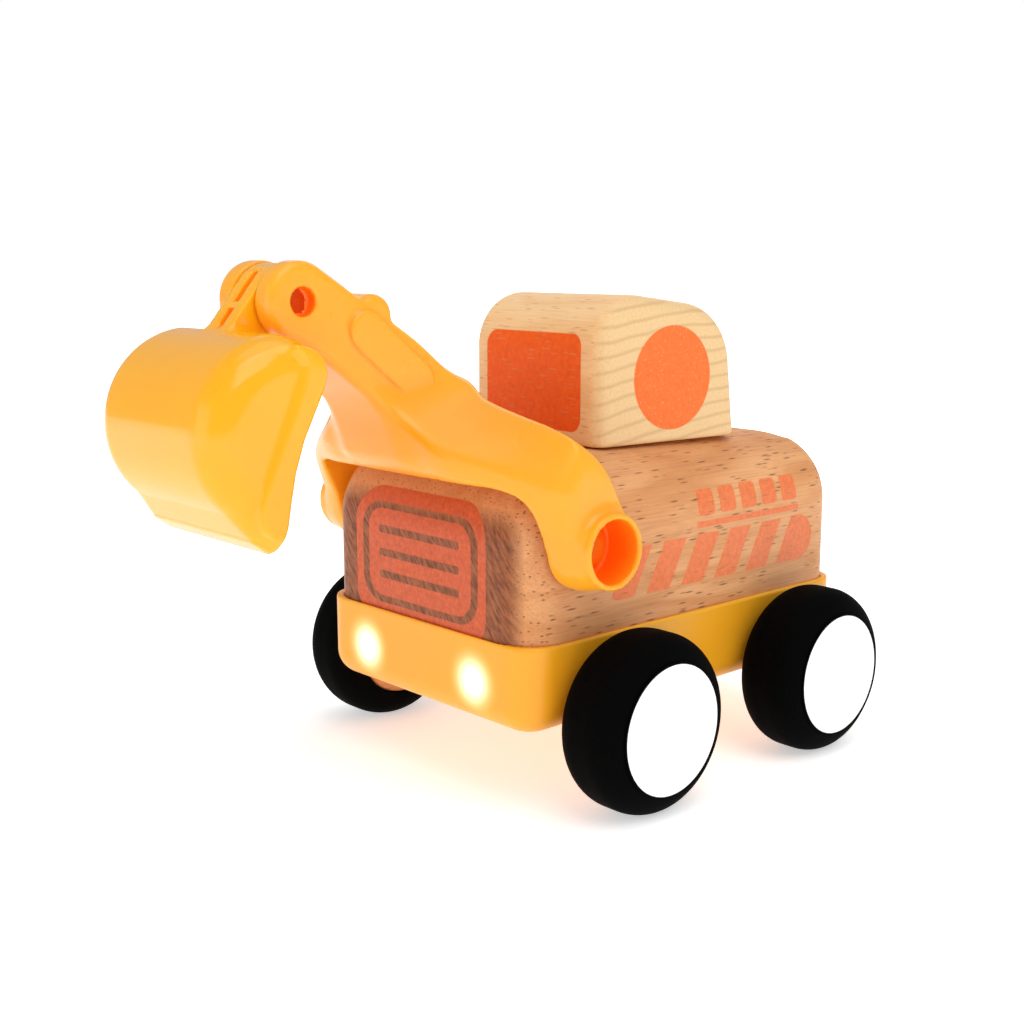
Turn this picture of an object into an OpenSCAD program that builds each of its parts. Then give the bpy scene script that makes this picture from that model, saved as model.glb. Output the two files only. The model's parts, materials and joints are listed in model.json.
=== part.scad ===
// Toy excavator: wooden body with a turning cab on a moulded chassis tray, and a two-joint digging arm.
// X points to the digging end, Y to the left side, Z up.
// The side profiles are drawn with X measured from the front axle and are then moved by frame_dx,
// which puts the origin on the floor under the middle of the whole toy.

/* [Wheels] */
// Tyre outside diameter
wheel_d = 40; // [39:0.25:41]
// Tyre width
tyre_w = 17.6; // [16.5:0.1:18]
// Distance between the two axles
wheelbase = 60.2; // [58:0.1:62]
// Outside width over the tyres
track_out = 110.2; // [110:0.1:112]
// Axle rod diameter
axle_d = 4; // [3.6:0.1:4.2]
// White hub disc diameter
disc_d = 29.4; // [28:0.1:30]

/* [Body] */
// Width of the wooden body
body_w = 71.6; // [70:0.1:72]
// Front face of the body from the front axle
body_front = 24.2; // [23.8:0.1:24.4]
// Rear face of the body from the front axle
body_rear = -84; // [-86:0.1:-83]
// Height of the body top above the floor
body_top = 75.4; // [75:0.1:75.6]
// Radius of the rounded top edges
body_top_r = 17.5; // [15:0.1:18]
// Radius of the upright corners
body_corner_r = 9.3; // [8.8:0.1:9.6]

/* [Cab] */
// Width of the cab block
cab_w = 48.2; // [46:0.1:49]
// Length of the cab at its base
cab_len = 45.6; // [44:0.1:46]
// Turret centre from the front axle
cab_x = -34.7; // [-35.5:0.1:-34]
// Turn of the cab seen from above, in degrees
cab_turn = -5; // [-8:0.5:8]
// Height of the cab top line at the front face, above the cab base
cab_h = 36; // [34:0.1:36.4]
// Fall of the cab top towards the rear, per mm of length
cab_slope = 0.13; // [0.1:0.01:0.16]
// Forward lean of the cab rear face, per mm of height
cab_lean = 0.12; // [0.1:0.01:0.14]
// Top front radius of the cab
cab_front_r = 13; // [12:0.5:14]
// Top rear radius of the cab
cab_rear_r = 15.8; // [14:0.1:16]
// Rounding of the cab side edges
cab_edge_r = 3.8; // [3:0.1:4.2]

/* [Chassis] */
// Height of the chassis rim above the floor
tray_top = 37.9; // [37.5:0.1:38.2]
// Underside of the chassis above the floor
tray_bottom = 18; // [17.8:0.05:18]
// Wall thickness of the chassis
tray_wall = 2; // [1.8:0.1:2.2]
// Rounding of the chassis lower edges
tray_edge_r = 6; // [5:0.5:6.5]
// Headlight lens diameter
lens_d = 6.6; // [6:0.1:7]
// Headlight distance from the centre line
lens_y = 19.1; // [18:0.1:20]
// Headlight height above the floor
lens_z = 27.8; // [27.5:0.1:28.2]

/* [Boom] */
// Boom pivot from the front axle
pivot_x = 10.4; // [10.2:0.1:10.6]
// Boom pivot height above the floor
pivot_z = 58.7; // [58.5:0.1:58.9]
// Bore of the open pivot bosses
boss_bore_d = 13.8; // [13:0.1:14]
// Width over the pivot bosses
boss_span = 95.2; // [94:0.1:96]
// Width of the boom neck
neck_w = 19.6; // [19:0.1:20]
// Width of the slot at the boom tip
fork_gap = 9; // [8.8:0.1:9.2]
// Boom tip pin from the front axle
tip_x = 59.9; // [59.5:0.1:60.3]
// Boom tip pin height above the floor
tip_z = 109.8; // [109.5:0.1:110.1]

/* [Bucket] */
// Width of the bucket
bucket_w = 47; // [46:0.5:48]
// Radius of the bucket back
bucket_r = 19; // [18.6:0.1:19.2]
// Wall thickness of the bucket
bucket_wall = 1.8; // [1.6:0.1:2.2]
// Width of the bucket tongue
tongue_w = 8.4; // [8.2:0.1:8.4]

/* [Hidden] */
$fn = 64;
eps = 0.01;
far = 300;

// Middle of the whole toy: bucket back at the front, chassis at the rear
bucket_x = 70.5;
bucket_z = 85.5;
tray_gap = 0.9;
frame_dx = -((bucket_x + bucket_r) + (body_rear - tray_gap)) / 2;

wheel_r = wheel_d / 2;
rear_x = -wheelbase;
axle_r = axle_d / 2;
tyre_out = track_out / 2;
tyre_in = tyre_out - tyre_w;
tyre_mid = (tyre_out + tyre_in) / 2;
tyre_round_r = 7;
tyre_bore_r = wheel_r - tyre_round_r;
disc_r = disc_d / 2;
disc_t = 2;
axle_fit = 0.06;

body_hw = body_w / 2;
seat_z = 35.4;
rim_fit = 0.1;

tray_hw = body_hw + tray_gap;
tray_front = body_front + tray_gap;
tray_rear = body_rear - tray_gap;
tray_corner_r = 7.8;
floor_z = tray_bottom + tray_wall;
screw_xy = [[14, 29], [14, -29], [-74, 27], [-74, -27]];
screw_boss_r = 4.2;
screw_r = 1.3;
screw_head_r = 2.6;
screw_tip_z = 47;

rib_half = 5.4;
rib_top = 24.6;
axle_slot_hw = 1.2;

cab_hw = cab_w / 2;
cab_hl = cab_len / 2;
cab_base = body_top + 0.4;
cab_top = cab_base + cab_h;
cab_screw_r = 2;
cab_screw_top = cab_base + 16;
cab_head_r = 4.5;
cab_head_t = 2.4;
cab_seat_z = 62;
washer_r = 8;
washer_t = 0.36;

cell_r = 5.8;
cell_t = 5.4;
cell_x = -32;
cell_z = floor_z + 0.1 + cell_r;
contact_y = 12.6;
contact_t = 0.4;
contact_low = 21.1;
contact_high = 32;
box_half_x = 6.6;
box_half_y = 13;
box_wall = 1.2;
door_half_x = 7.4;
door_half_y = 15;
door_t = 1.2;
door_screw_y = 20;
door_end_y = 23.5;
door_screw_r = 1;
door_head_r = 1.9;

switch_x = -15;
switch_half_x = 2.6;
switch_half_y = 5;
switch_h = 4.6;
knob_half_x = 1.3;
knob_half_y = 1.6;
knob_travel = 1.5;

board_x = 15.5;
board_t = 1.6;
board_half_y = 23;
board_low = 21.5;
board_high = 34;

arm_in = 36.2;
arm_out = 44.6;
boss_in_r = 9.4;
boss_out_r = 8.1;
boss_bore_r = boss_bore_d / 2;
boss_end = boss_span / 2;
web_t = 2.3;
rod_r = 2;
cap_r = 5.4;
cap_t = 2.6;
neck_hw = neck_w / 2;
gap_hw = fork_gap / 2;
tip_r = 8;
pin_r = 2.85;
pin_hole_r = 2.95;
pin_half = 6.9;
sweep_r = 21.6;
cross_rise = 13.1;

bucket_hw = bucket_w / 2;
bucket_side_r = 7;
lip_z = 63.5;
lip_corner_r = 4;
flange_w = 4.6;
panel_inset = 0.7;

// Tongue: round head about the pin and a flat front face that runs down to the shell
tongue_hw = tongue_w / 2;
tongue_r = 7.5;
face_top = [65.8, 114.45];
face_end = [74, 104.3];
face_angle = atan2(face_end[1] - face_top[1], face_end[0] - face_top[0]);
pocket_hw = 1.15;
pocket_depth = 2;

wood_pale = [0.90, 0.75, 0.54];
wood_red = [0.76, 0.55, 0.40];
plastic_yellow = [0.98, 0.70, 0.20];
steel_grey = [0.70, 0.71, 0.73];
rubber_black = [0.03, 0.03, 0.03];
paint_white = [0.95, 0.95, 0.95];

// ---------- helpers ----------

// Moves a sub-part from front-axle coordinates to the shared frame
module placed() {
    translate([frame_dx, 0, 0]) children();
}

// Extrudes a side profile drawn in X and Z across the toy between two Y values
module side_plate(y0, y1) {
    translate([0, y1, 0]) rotate([90, 0, 0]) linear_extrude(height = y1 - y0) children();
}

// Extrudes a front profile drawn in Y and Z along X between two X values
module front_plate(x0, x1) {
    translate([x0, 0, 0]) rotate([90, 0, 90]) linear_extrude(height = x1 - x0) children();
}

// Rod along Y
module rod_y(x, z, r, y0, y1) {
    translate([x, y1, z]) rotate([90, 0, 0]) cylinder(r = r, h = y1 - y0);
}

// Rod along X
module rod_x(y, z, r, x0, x1) {
    translate([x0, y, z]) rotate([0, 90, 0]) cylinder(r = r, h = x1 - x0);
}

// Rectangle between two corners with all four corners rounded
module round_rect(x0, x1, y0, y1, r) {
    translate([x0 + r, y0]) square([x1 - x0 - 2 * r, y1 - y0]);
    translate([x0, y0 + r]) square([x1 - x0, y1 - y0 - 2 * r]);
    for (x = [x0 + r, x1 - r])
        for (y = [y0 + r, y1 - r])
            translate([x, y]) circle(r = r);
}

// Rectangle with only its upper corners rounded
module top_round_rect(x0, x1, y0, y1, r) {
    translate([x0, y0]) square([x1 - x0, y1 - y0 - r]);
    translate([x0 + r, y0]) square([x1 - x0 - 2 * r, y1 - y0]);
    for (x = [x0 + r, x1 - r])
        translate([x, y1 - r]) circle(r = r);
}

// Rectangle with only its lower corners rounded
module low_round_rect(x0, x1, y0, y1, r) {
    mirror([0, 1]) top_round_rect(x0, x1, -y1, -y0, r);
}

// Box between two corner points
module box(p, q) {
    translate(p) cube(q - p);
}

// Cross recess for a screwdriver, centred on the head's outer face
module cross_cut(w, t, depth) {
    cube([w, t, 2 * depth], center = true);
    cube([t, w, 2 * depth], center = true);
}

// ---------- wooden body and cab ----------

module body_block() {
    color(wood_red) placed() difference() {
        intersection() {
            translate([0, 0, seat_z]) linear_extrude(height = body_top - seat_z)
                round_rect(body_rear, body_front, -body_hw, body_hw, body_corner_r);
            front_plate(body_rear - 1, body_front + 1)
                top_round_rect(-body_hw, body_hw, seat_z, body_top, body_top_r);
            side_plate(-body_hw - 1, body_hw + 1)
                top_round_rect(body_rear, body_front, seat_z, body_top, body_top_r);
        }
        rod_y(pivot_x, pivot_z, rod_r, -body_w, body_w);
        for (p = screw_xy)
            translate([p[0], p[1], seat_z - 1]) cylinder(r = screw_r, h = screw_tip_z - seat_z + 1);
        // bore and counterbore for the cab screw
        translate([cab_x, 0, seat_z - 1]) {
            cylinder(r = cab_screw_r + axle_fit, h = body_top);
            cylinder(r = cab_head_r + 0.7, h = cab_seat_z - seat_z + 1);
        }
    }
}

// Moves a cab sub-part drawn about the turret centre to its place
module cab_placed() {
    placed() translate([cab_x, 0, 0]) rotate([0, 0, cab_turn]) children();
}

// Side outline of the cab: upright front, sloping top, leaning rear and two large top radii
module cab_outline() {
    k = sqrt(1 + cab_slope * cab_slope);
    m = sqrt(1 + cab_lean * cab_lean);
    front = [cab_hl - cab_front_r, cab_top - cab_slope * cab_front_r - cab_front_r * k];
    rise = cab_top - cab_slope * cab_hl - cab_rear_r * k;
    rear_cx = (-cab_hl + cab_lean * (rise - cab_base) + cab_rear_r * m) / (1 - cab_lean * cab_slope);
    rear = [rear_cx, rise + cab_slope * rear_cx];
    polygon([[cab_hl, cab_base], [cab_hl, front[1]],
        front + [-cab_front_r * cab_slope / k, cab_front_r / k],
        rear + [-cab_rear_r * cab_slope / k, cab_rear_r / k],
        rear + [-cab_rear_r / m, cab_rear_r * cab_lean / m], [-cab_hl, cab_base]]);
    translate(front) circle(r = cab_front_r);
    translate(rear) circle(r = cab_rear_r);
}

module cab_block() {
    color(wood_pale) cab_placed() difference() {
        intersection() {
            side_plate(-cab_hw, cab_hw) cab_outline();
            translate([0, 0, cab_base]) linear_extrude(height = cab_h)
                round_rect(-cab_hl, cab_hl, -cab_hw, cab_hw, cab_edge_r);
            translate([cab_hl, 0, cab_top]) rotate([0, -atan(cab_slope), 0])
                front_plate(-1.5 * cab_len, 0.5 * cab_len)
                    top_round_rect(-cab_hw, cab_hw, -1.5 * cab_h, 0, cab_edge_r);
        }
        translate([0, 0, cab_base - 1]) cylinder(r = cab_screw_r, h = cab_screw_top - cab_base + 1);
    }
}

// Pivot screw put in from under the body: it is fast in the cab and turns in the body
module cab_screw() {
    color(steel_grey) cab_placed() translate([0, 0, cab_seat_z - 0.05]) {
        difference() {
            translate([0, 0, -cab_head_t]) cylinder(r = cab_head_r, h = cab_head_t);
            translate([0, 0, -cab_head_t]) cross_cut(5, 1, 1.4);
        }
        translate([0, 0, -eps]) cylinder(r = cab_screw_r, h = cab_screw_top - cab_seat_z);
    }
}

module cab_washer() {
    color(paint_white) placed() translate([cab_x, 0, body_top]) difference() {
        cylinder(r = washer_r, h = washer_t);
        translate([0, 0, -1]) cylinder(r = cab_screw_r + 0.3, h = 2);
    }
}

// ---------- chassis ----------

module tray_shell() {
    difference() {
        intersection() {
            translate([0, 0, tray_bottom]) linear_extrude(height = tray_top - tray_bottom)
                round_rect(tray_rear, tray_front, -tray_hw, tray_hw, tray_corner_r);
            front_plate(tray_rear - 1, tray_front + 1)
                low_round_rect(-tray_hw, tray_hw, tray_bottom, tray_top, tray_edge_r);
            side_plate(-tray_hw - 1, tray_hw + 1)
                low_round_rect(tray_rear, tray_front, tray_bottom, tray_top, tray_edge_r);
        }
        intersection() {
            translate([0, 0, floor_z]) linear_extrude(height = tray_top)
                round_rect(tray_rear + tray_wall, tray_front - tray_wall,
                    -tray_hw + tray_wall, tray_hw - tray_wall, tray_corner_r - tray_wall);
            front_plate(tray_rear - 1, tray_front + 1)
                low_round_rect(-tray_hw + tray_wall, tray_hw - tray_wall,
                    floor_z, tray_top + 1, tray_edge_r - tray_wall);
            side_plate(-tray_hw - 1, tray_hw + 1)
                low_round_rect(tray_rear + tray_wall, tray_front - tray_wall,
                    floor_z, tray_top + 1, tray_edge_r - tray_wall);
        }
        translate([0, 0, seat_z]) linear_extrude(height = tray_top)
            round_rect(body_rear - rim_fit, body_front + rim_fit,
                -body_hw - rim_fit, body_hw + rim_fit, body_corner_r + rim_fit);
    }
}

// Screw posts, axle ribs, battery box and board slots standing on the tray floor
module tray_inside() {
    for (p = screw_xy)
        translate([p[0], p[1], tray_bottom + 1]) cylinder(r = screw_boss_r, h = seat_z - tray_bottom - 1);
    for (ax = [0, rear_x])
        box([ax - rib_half, -tray_hw + 1, floor_z - 1], [ax + rib_half, tray_hw - 1, rib_top]);
    difference() {
        box([cell_x - box_half_x - box_wall, -box_half_y - box_wall, floor_z - 0.5],
            [cell_x + box_half_x + box_wall, box_half_y + box_wall, seat_z - 0.6]);
        box([cell_x - box_half_x, -box_half_y, floor_z - 1],
            [cell_x + box_half_x, box_half_y, seat_z]);
        // notches that let the wires out of the battery box
        box([cell_x, -box_half_y - 0.2, 28.5], [cell_x + 20, -box_half_y + 2.6, seat_z]);
        box([cell_x, 8, 27], [cell_x + 20, box_half_y + 0.2, seat_z]);
    }
    translate([cell_x, door_screw_y, floor_z - 0.5]) cylinder(r = 3, h = 8);
    for (s = [-1, 1])
        difference() {
            box([board_x - 1.6, s > 0 ? board_half_y - 1 : -board_half_y - 1.2, floor_z - 0.5],
                [board_x + board_t + 1.6, s > 0 ? board_half_y + 1.2 : -board_half_y + 1, 33]);
            box([board_x, -board_half_y, board_low], [board_x + board_t, board_half_y, 34]);
        }
}

module chassis_tray() {
    color(plastic_yellow) placed() difference() {
        union() {
            tray_shell();
            tray_inside();
        }
        // snap channels for the axles, open below by less than the rod width
        for (ax = [0, rear_x]) {
            rod_y(ax, wheel_r, axle_r + axle_fit, -tray_hw - 1, tray_hw + 1);
            box([ax - axle_slot_hw, -tray_hw - 1, tray_bottom - 1],
                [ax + axle_slot_hw, tray_hw + 1, wheel_r - 1]);
        }
        for (p = screw_xy)
            translate([p[0], p[1], tray_bottom - 1]) {
                cylinder(r = screw_r + 0.3, h = far);
                cylinder(r = screw_head_r + 0.4, h = 5);
            }
        for (s = [-1, 1])
            rod_x(s * lens_y, lens_z, lens_d / 2, tray_front - 4, tray_front + 1);
        // battery opening with a seat for the door
        box([cell_x - box_half_x, -box_half_y, tray_bottom - 1], [cell_x + box_half_x, box_half_y, seat_z]);
        box([cell_x - door_half_x, -door_half_y, tray_bottom - 1],
            [cell_x + door_half_x, door_end_y, tray_bottom + door_t + 0.1]);
        translate([cell_x, door_screw_y, tray_bottom]) cylinder(r = door_screw_r, h = 8.5);
        // slot for the switch knob
        box([switch_x - knob_half_x - 0.2, -knob_half_y - knob_travel - 0.2, tray_bottom - 1],
            [switch_x + knob_half_x + 0.2, knob_half_y + knob_travel + 0.2, floor_z + 1]);
    }
}

module body_screws() {
    color(steel_grey) placed()
        for (p = screw_xy)
            translate([p[0], p[1], 0]) {
                translate([0, 0, tray_bottom + 2]) difference() {
                    cylinder(r = screw_head_r, h = 2);
                    cross_cut(3.2, 0.7, 1.3);
                }
                translate([0, 0, tray_bottom + 4 - eps])
                    cylinder(r = screw_r, h = screw_tip_z - 1 - tray_bottom - 4);
            }
}

// ---------- wheels and axles ----------

module axle_rod(ax) {
    color(steel_grey) placed() rod_y(ax, wheel_r, axle_r, -(tyre_out - 4), tyre_out - 4);
}

module front_axle() {
    axle_rod(0);
}

module rear_axle() {
    axle_rod(rear_x);
}

// Children are drawn with the wheel axis on Z and the outer face up
module wheel_place(ax, side) {
    placed() translate([ax, 0, wheel_r]) mirror([0, side < 0 ? 1 : 0, 0])
        translate([0, tyre_mid, 0]) rotate([-90, 0, 0]) children();
}

module tyre(ax, side) {
    color(rubber_black) wheel_place(ax, side) difference() {
        rotate_extrude() {
            translate([0, -tyre_w / 2]) square([tyre_bore_r + eps, tyre_w]);
            translate([0, -tyre_w / 2 + tyre_round_r]) square([wheel_r, tyre_w - 2 * tyre_round_r]);
            for (y = [-tyre_w / 2 + tyre_round_r, tyre_w / 2 - tyre_round_r])
                translate([tyre_bore_r, y]) circle(r = tyre_round_r);
        }
        translate([0, 0, -tyre_w]) cylinder(r = tyre_bore_r, h = 2 * tyre_w);
        translate([0, 0, tyre_w / 2 - disc_t]) cylinder(r = disc_r, h = 2 * disc_t);
    }
}

module hub(ax, side) {
    color(wood_red) wheel_place(ax, side) difference() {
        translate([0, 0, -tyre_w / 2 + 0.4]) cylinder(r = tyre_bore_r, h = tyre_w - disc_t - 0.4);
        translate([0, 0, -tyre_w]) cylinder(r = axle_r, h = tyre_w + tyre_w / 2 - 4);
    }
}

module hub_disc(ax, side) {
    color(paint_white) wheel_place(ax, side)
        translate([0, 0, tyre_w / 2 - disc_t]) cylinder(r = disc_r, h = disc_t);
}

// ---------- boom ----------

// Neck outline from the shoulder to the tip with its rounded knuckle on top
module neck_outline() {
    polygon([[14.5, 79.5], [17.6, 86.5], [17.8, 90.2], [23.4, 95.2], [30.9, 101.3], [36.9, 104.9],
        [38.1, 106.2], [41.6, 107.5], [47.2, 111.3], [tip_x - 3.4, tip_z + 7.24],
        [tip_x, tip_z], [tip_x + 4.9, tip_z - 6.32], [53.1, 96.6], [45.4, 90.9],
        [39.5, 86.0], [36.6, 80.5], [34.8, 76.8], [26.8, 78]]);
    translate([tip_x, tip_z]) circle(r = tip_r);
    translate([42.6, 106.6]) circle(r = 4.6);
}

// Shoulder and arm outline from the shoulder to the pivot boss
module arm_outline() {
    polygon([[pivot_x - 7.9, pivot_z + 5.1], [5.0, 68.2], [8.2, 74.2], [11.8, 79.2], [15.2, 82.8],
        [18.4, 86.4], [21.2, 86.8], [34.2, 79.2], [35.2, 76.8], [32.8, 73.2], [28.2, 70.4],
        [24.2, 66.6], [21.8, 62.6], [19.7, 57.6], [pivot_x, pivot_z]]);
    translate([pivot_x, pivot_z]) circle(r = boss_in_r);
}

// Flare that widens the neck into the two shoulders
module flare(side) {
    hull() {
        side_plate(-2, 2) polygon([[18.4, 88.0], [24, 90.0], [38.4, 86.4], [37.4, 82], [33.8, 75.6], [20, 79]]);
        translate([0, side * (neck_hw - 1), 0]) side_plate(-0.5, 0.5)
            polygon([[18.4, 88.8], [26, 92.4], [39.0, 86.0], [36.6, 80.5], [33.8, 75.6], [20, 79]]);
        translate([0, side * 24, 0]) side_plate(-0.5, 0.5)
            polygon([[18.6, 86.5], [21.2, 86.7], [34.2, 79.2], [35.0, 76.8], [33.6, 74.4], [20, 79]]);
    }
}

// Plan outline of the crosspiece and arms: the front edge sweeps back towards the arms
module cross_plan() {
    side = [[38.8, 10], [36.5, 20], [27.3, 36.5], [25, 40], [22, arm_out], [21, arm_out + 1]];
    polygon(concat([for (p = side) p], [[-20, arm_out + 1], [-20, -arm_out - 1]],
        [for (i = [len(side) - 1 : -1 : 0]) [side[i][0], -side[i][1]]]));
}

// Front view of the shoulders: the outer top corners are rounded
module shoulder_outline() {
    top_round_rect(-arm_out, arm_out, 40, 87, 7.5);
    translate([-24, 40]) square([48, 54]);
}

module boom_body() {
    side_plate(-neck_hw, neck_hw) neck_outline();
    intersection() {
        union() {
            side_plate(-arm_out, arm_out) arm_outline();
            for (s = [-1, 1])
                flare(s);
        }
        front_plate(-50, 60) shoulder_outline();
        translate([0, 0, 40]) linear_extrude(height = 60) cross_plan();
    }
    for (s = [-1, 1]) {
        // boss tube, slightly tapered towards its open end
        translate([pivot_x, s * arm_in, pivot_z]) rotate([s > 0 ? -90 : 90, 0, 0])
            rotate_extrude() polygon([[0, 0], [boss_in_r, 0], [boss_in_r, 3.2], [boss_out_r, 8.6],
                [boss_out_r, boss_end - arm_in - 0.4], [boss_out_r - 0.4, boss_end - arm_in],
                [0, boss_end - arm_in]]);
        // raised stadium on each side of the neck
        translate([0, s * (neck_hw + 0.35), 0]) side_plate(-0.45, 0.45) translate([38.6, 98.2])
            rotate(40) {
                translate([-8.6, -4.1]) square([17.2, 8.2]);
                for (dx = [-8.6, 8.6])
                    translate([dx, 0]) circle(r = 4.1);
            }
    }
}

module boom() {
    color(plastic_yellow) placed() difference() {
        boom_body();
        // room for the body between the arms
        rod_y(pivot_x, pivot_z, sweep_r, -arm_in, arm_in);
        box([-20, -arm_in, 40], [40, arm_in, pivot_z + cross_rise]);
        // pivot bores
        rod_y(pivot_x, pivot_z, rod_r + axle_fit, -boss_end - 1, boss_end + 1);
        rod_y(pivot_x, pivot_z, boss_bore_r, arm_in + web_t, boss_end + 1);
        rod_y(pivot_x, pivot_z, boss_bore_r, -boss_end - 1, -arm_in - web_t);
        // slot for the bucket tongue
        rod_y(tip_x, tip_z, tip_r + 1.6, -gap_hw, gap_hw);
        box([tip_x, -gap_hw, tip_z - 20], [tip_x + 20, gap_hw, tip_z + 20]);
        box([tip_x - 5, -gap_hw, tip_z + 4], [tip_x + 1, gap_hw, tip_z + 12]);
        rod_y(tip_x, tip_z, pin_r, -pin_half, pin_half);
        rod_y(tip_x, tip_z, pin_hole_r, pin_half, neck_hw + 1);
        rod_y(tip_x, tip_z, pin_hole_r, -neck_hw - 1, -pin_half);
    }
}

module boom_axle() {
    color(steel_grey) placed() rod_y(pivot_x, pivot_z, rod_r, -(arm_in + web_t + 2), arm_in + web_t + 2);
}

module boom_caps() {
    color(plastic_yellow) placed()
        for (s = [-1, 1])
            translate([pivot_x, s * (arm_in + web_t + 0.1), pivot_z]) rotate([s > 0 ? -90 : 90, 0, 0])
                difference() {
                    rotate_extrude() polygon([[0, 0], [cap_r, 0], [cap_r, 0.6], [cap_r - 1.6, cap_t - 0.4],
                        [2.4, cap_t], [0, cap_t]]);
                    translate([0, 0, -1]) cylinder(r = rod_r, h = 1 + 1.9);
                }
}

// ---------- bucket ----------

// Closed side outline of the bucket, back on a radius and the mouth towards the cab
module bucket_outline() {
    intersection() {
        union() {
            translate([bucket_x, bucket_z]) circle(r = bucket_r);
            polygon([[bucket_x, bucket_z], [bucket_x + 12.21, bucket_z - 14.56], [75.9, 64.2], [74.6, 63.9]]);
        }
        polygon([[75.9, 63.4], [74.4, 63.9], [73.0, 68.6], [72.3, 73.6], [71.3, 78.7], [69.2, 84.7],
            [66.4, 90.2], [64.4, 94.2], [63.7, 96.9], [64.2, 99.2], [65.6, 101.2], [67.8, 102.8],
            [71.2, 106], [95, 106], [95, 60]]);
    }
}

// The same outline moved inwards from the mouth edge, used for the side panels
module panel_outline() {
    intersection() {
        translate([bucket_x, bucket_z]) circle(r = bucket_r - 1.2);
        translate([flange_w + 0.3, -1.6]) bucket_outline();
    }
}

module bucket_inside() {
    translate([bucket_x, bucket_z]) circle(r = bucket_r - bucket_wall);
    polygon([[bucket_x - 30, bucket_z + 8], [bucket_x - 6, bucket_z + 17.2 - 1.1], [bucket_x, bucket_z],
        [bucket_x + 11.06, bucket_z - 13.18], [74.6, 66.2], [60, 66.2]]);
}

module tongue_outline() {
    translate([tip_x, tip_z]) circle(r = tongue_r);
    polygon([[tip_x, tip_z], face_top, face_end, [76, 101], [68.5, 101.5], [63.2, 102.95],
        [tip_x - 1, tip_z]]);
}

// Front view of the bucket with rounded top corners and rounded lip corners
module bucket_front(hw, z0, z1, top_r, low_r) {
    top_round_rect(-hw, hw, bucket_z - 5, z1, top_r);
    low_round_rect(-hw, hw, z0, bucket_z, low_r);
}

module bucket_shell() {
    in_hw = bucket_hw - bucket_wall;
    in_r = bucket_side_r - bucket_wall;
    difference() {
        intersection() {
            union() {
                side_plate(-bucket_hw, bucket_hw) bucket_outline();
                // thickened cutting edge
                side_plate(-bucket_hw, bucket_hw)
                    polygon([[74.4, 63.9], [75.9, 63.5], [79.6, 66.8], [78.5, 68.6], [74.2, 66.2]]);
            }
            translate([0, 0, 50]) linear_extrude(height = 70)
                round_rect(50, bucket_x + bucket_r, -bucket_hw, bucket_hw, bucket_side_r);
            front_plate(50, 100)
                bucket_front(bucket_hw, lip_z, bucket_z + bucket_r, bucket_side_r, lip_corner_r);
        }
        intersection() {
            side_plate(-in_hw, in_hw) bucket_inside();
            translate([0, 0, 50]) linear_extrude(height = 70)
                round_rect(40, bucket_x + bucket_r - bucket_wall, -in_hw, in_hw, in_r);
            front_plate(40, 100) bucket_front(in_hw, 60, bucket_z + bucket_r - bucket_wall, in_r, 1);
        }
        // thinner side panels leave the raised flange along the mouth
        for (s = [-1, 1])
            translate([0, s * (bucket_hw + 1 - panel_inset), 0]) side_plate(-1, 1)
                panel_outline();
    }
}

module bucket() {
    color(plastic_yellow) placed() difference() {
        union() {
            bucket_shell();
            side_plate(-tongue_hw, tongue_hw) tongue_outline();
        }
        side_plate(-tongue_hw - 1, tongue_hw + 1) intersection() {
            bucket_inside();
            translate([60, 60]) square([40, 42]);
        }
        rod_y(tip_x, tip_z, pin_r + axle_fit, -tongue_hw - 1, tongue_hw + 1);
        // two cored pockets in the front face of the tongue
        side_plate(-pocket_hw, pocket_hw) translate(face_top) rotate(face_angle)
            for (a = [[-2.2, 5.65], [7.2, 12.5]])
                translate([a[0], -pocket_depth]) square([a[1] - a[0], pocket_depth + 1.5]);
    }
}

module bucket_pin() {
    color(plastic_yellow) placed() rod_y(tip_x, tip_z, pin_r, -pin_half, pin_half);
}

// ---------- lights and battery ----------

module lens(side) {
    color([1, 0.95, 0.8]) placed() translate([tray_front - 4.2, side * lens_y, lens_z])
        rotate([0, 90, 0]) difference() {
            rotate_extrude() {
                square([lens_d / 2 + 0.9, 1.95]);
                square([lens_d / 2, 4.2]);
                intersection() {
                    translate([0, 4.2 - 6.6]) circle(r = 7.25);
                    translate([0, 4]) square([lens_d / 2, 2]);
                }
            }
            translate([0, 0, -1]) cylinder(r = 1.7, h = 3.6);
        }
}

module lens_left() {
    lens(1);
}

module lens_right() {
    lens(-1);
}

module led(side) {
    color([1, 1, 0.9]) placed() translate([board_x + board_t, side * lens_y, lens_z])
        rotate([0, 90, 0]) rotate_extrude() {
            square([1.9, 1]);
            square([1.5, 4.4]);
            intersection() {
                translate([0, 4.4]) circle(r = 1.5);
                square([1.5, 8]);
            }
        }
}

module led_left() {
    led(1);
}

module led_right() {
    led(-1);
}

module circuit_board() {
    color([0.1, 0.4, 0.2]) placed() {
        box([board_x, -board_half_y, board_low], [board_x + board_t, board_half_y, board_high]);
        box([board_x - 1.4, -3, 26], [board_x + 0.1, 3, 30]);
    }
}

module switch_body() {
    color([0.25, 0.25, 0.27]) placed() difference() {
        box([switch_x - switch_half_x, -switch_half_y, floor_z],
            [switch_x + switch_half_x, switch_half_y, floor_z + switch_h]);
        box([switch_x - knob_half_x - 0.1, -knob_half_y - knob_travel - 0.1, floor_z - 1],
            [switch_x + knob_half_x + 0.1, knob_half_y + knob_travel + 0.1, floor_z + 2.2]);
    }
}

module switch_knob() {
    color([0.12, 0.12, 0.13]) placed()
        box([switch_x - knob_half_x, -knob_half_y + knob_travel, tray_bottom + 0.2],
            [switch_x + knob_half_x, knob_half_y + knob_travel, floor_z + 2.1]);
}

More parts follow.
